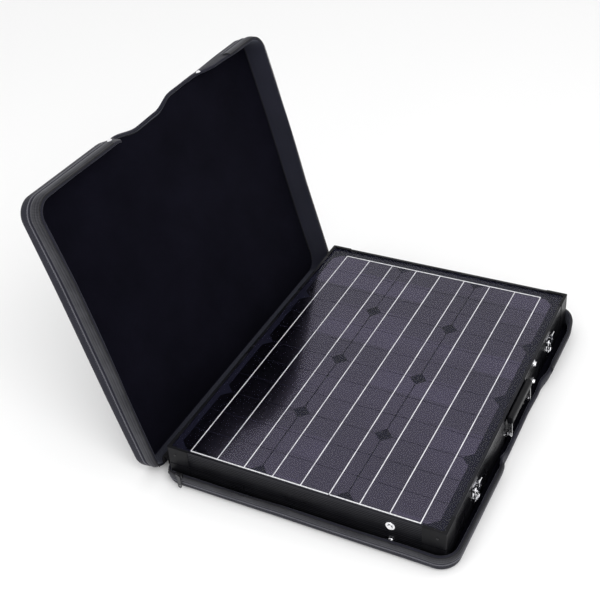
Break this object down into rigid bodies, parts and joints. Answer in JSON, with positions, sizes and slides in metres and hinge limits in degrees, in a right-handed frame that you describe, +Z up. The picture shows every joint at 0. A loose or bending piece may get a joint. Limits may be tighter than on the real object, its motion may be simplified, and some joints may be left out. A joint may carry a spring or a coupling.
{
  "type": "folding suitcase solar panel",
  "caption": "Folding solar panel pair with latches and stand legs, lying in an open zipped carry case.",
  "frame": {"origin": "middle of the case base's underside", "axes": "+X from the case hinge to the handle side, +Y from the front to the back, +Z up"},
  "size_m": [0.7236, 0.716, 0.5393],
  "materials": {
    "shell_cloth": "nylon oxford cloth over board",
    "velvet": "short velvet pile",
    "piping": "satin piping",
    "zip_tape": "woven tape",
    "zip_chain": "moulded coil",
    "spine_cloth": "nylon oxford cloth",
    "chrome": "polished",
    "steel": "brushed",
    "grip_rubber": "moulded",
    "slider_metal": "black enamel",
    "anodised": "black anodised, satin",
    "black_plastic": "fine texture",
    "backsheet": "matt film",
    "solar_glass": "clear, glossy",
    "seal": "silicone bead",
    "cells": "anti-reflection coated silicon",
    "ribbon": "tinned copper",
    "box_plastic": "moulded",
    "zinc": "zinc plated",
    "foot_rubber": "moulded",
    "hinge_steel": "black zinc"
  },
  "bodies": {
    "case_base": {"base_lining": "velvet", "base_panel": "shell_cloth", "base_piping": "piping", "base_spine_flap": "spine_cloth", "base_wall_band": "shell_cloth", "base_zip_chain": "zip_chain", "base_zip_tape": "zip_tape"},
    "handle": {"handle_arms": "steel", "handle_grip": "grip_rubber"},
    "panel_lower": {"handle_brackets": "chrome", "latch_keepers": "chrome", "lower_backsheet": "backsheet", "lower_bolts": "chrome", "lower_cells": "cells", "lower_corner_caps": "black_plastic", "lower_edge_seal": "seal", "lower_glass": "solar_glass", "lower_hinge_leaves": "hinge_steel", "lower_hinge_screws": "zinc", "lower_junction_box": "box_plastic", "lower_leg_spacers_and_nuts": "zinc", "lower_long_rails": "anodised", "lower_ribbons": "ribbon", "lower_rivets": "hinge_steel", "lower_short_rails": "anodised"},
    "latch_bail_back_body": {"latch_bail_back": "chrome"},
    "latch_bail_front_body": {"latch_bail_front": "chrome"},
    "latch_lever_back_body": {"latch_lever_back": "chrome"},
    "latch_lever_front_body": {"latch_lever_front": "chrome"},
    "panel_upper": {"latch_plates": "chrome", "upper_backsheet": "backsheet", "upper_bolts": "chrome", "upper_cells": "cells", "upper_corner_caps": "black_plastic", "upper_edge_seal": "seal", "upper_glass": "solar_glass", "upper_hinge_leaves": "hinge_steel", "upper_hinge_screws": "zinc", "upper_junction_box": "box_plastic", "upper_leg_spacers_and_nuts": "zinc", "upper_long_rails": "anodised", "upper_ribbons": "ribbon", "upper_rivets": "hinge_steel", "upper_short_rails": "anodised"},
    "case_lid": {"lid_lining": "velvet", "lid_panel": "shell_cloth", "lid_piping": "piping", "lid_press_studs": "chrome", "lid_spine_flap": "spine_cloth", "lid_wall_band": "shell_cloth", "lid_zip_chain": "zip_chain", "lid_zip_tape": "zip_tape"},
    "leg_lower": {"lower_leg_feet": "foot_rubber", "lower_stand_leg": "anodised"},
    "leg_upper": {"upper_leg_feet": "foot_rubber", "upper_stand_leg": "anodised"},
    "zip_pull_back_body": {"zip_pull_back": "slider_metal"},
    "zip_pull_front_body": {"zip_pull_front": "slider_metal"},
    "zip_slider_back_body": {"zip_slider_back": "slider_metal"},
    "zip_slider_front_body": {"zip_slider_front": "slider_metal"}
  },
  "joints": [
    {"name": "case_hinge", "type": "hinge", "parent": "case_base", "child": "case_lid", "pos_m": [-0.2605, 0, 0.024], "axis": [0, -1, 0], "range_deg": [-104.4, 0]},
    {"name": "zip_run_front", "type": "slide", "parent": "case_base", "child": "zip_slider_front_body", "axis": [1, 0, 0], "range_m": [0, 0.42]},
    {"name": "pull_swing_front", "type": "hinge", "parent": "zip_slider_front_body", "child": "zip_pull_front_body", "pos_m": [-0.226, -0.35585, 0.0328], "axis": [0, 1, 0], "range_deg": [-80, 80]},
    {"name": "zip_run_back", "type": "slide", "parent": "case_base", "child": "zip_slider_back_body", "axis": [1, 0, 0], "range_m": [0, 0.42]},
    {"name": "pull_swing_back", "type": "hinge", "parent": "zip_slider_back_body", "child": "zip_pull_back_body", "pos_m": [-0.226, 0.35585, 0.0328], "axis": [0, 1, 0], "range_deg": [-80, 80]},
    {"name": "panel_lift", "type": "slide", "parent": "case_base", "child": "panel_lower", "axis": [0, 0, 1], "range_m": [0, 0.95]},
    {"name": "panel_fold", "type": "hinge", "parent": "panel_lower", "child": "panel_upper", "pos_m": [-0.25675, 0, 0.0413], "axis": [0, -1, 0], "range_deg": [0, 180]},
    {"name": "lower_leg_swing", "type": "hinge", "parent": "panel_lower", "child": "leg_lower", "pos_m": [0.16075, 0, 0.0246], "axis": [0, 1, 0], "range_deg": [0, 52]},
    {"name": "upper_leg_swing", "type": "hinge", "parent": "panel_upper", "child": "leg_upper", "pos_m": [0.16075, 0, 0.058], "axis": [0, -1, 0], "range_deg": [0, 52]},
    {"name": "latch_lever_front", "type": "hinge", "parent": "panel_upper", "child": "latch_lever_front_body", "pos_m": [0.25875, -0.2065, 0.054], "axis": [0, 1, 0], "range_deg": [0, 120]},
    {"name": "latch_bail_front", "type": "hinge", "parent": "latch_lever_front_body", "child": "latch_bail_front_body", "pos_m": [0.25775, -0.2065, 0.06], "axis": [0, 1, 0], "range_deg": [-120, 0]},
    {"name": "latch_lever_back", "type": "hinge", "parent": "panel_upper", "child": "latch_lever_back_body", "pos_m": [0.25875, 0.2085, 0.054], "axis": [0, 1, 0], "range_deg": [0, 120]},
    {"name": "latch_bail_back", "type": "hinge", "parent": "latch_lever_back_body", "child": "latch_bail_back_body", "pos_m": [0.25775, 0.2085, 0.06], "axis": [0, 1, 0], "range_deg": [-120, 0]},
    {"name": "handle_swing", "type": "hinge", "parent": "panel_lower", "child": "handle", "pos_m": [0.261, 0.012, 0.03], "axis": [0, 1, 0], "range_deg": [0, 90]}
  ],
  "couplings": [
    {"joint": "panel_fold", "follows": "panel_lift", "rad_per_m": 3.3068},
    {"joint": "lower_leg_swing", "follows": "panel_lift", "rad_per_m": 0.955},
    {"joint": "upper_leg_swing", "follows": "panel_lift", "rad_per_m": 0.955},
    {"joint": "latch_bail_front", "follows": "latch_lever_front", "ratio": -1},
    {"joint": "latch_bail_back", "follows": "latch_lever_back", "ratio": -1}
  ]
}
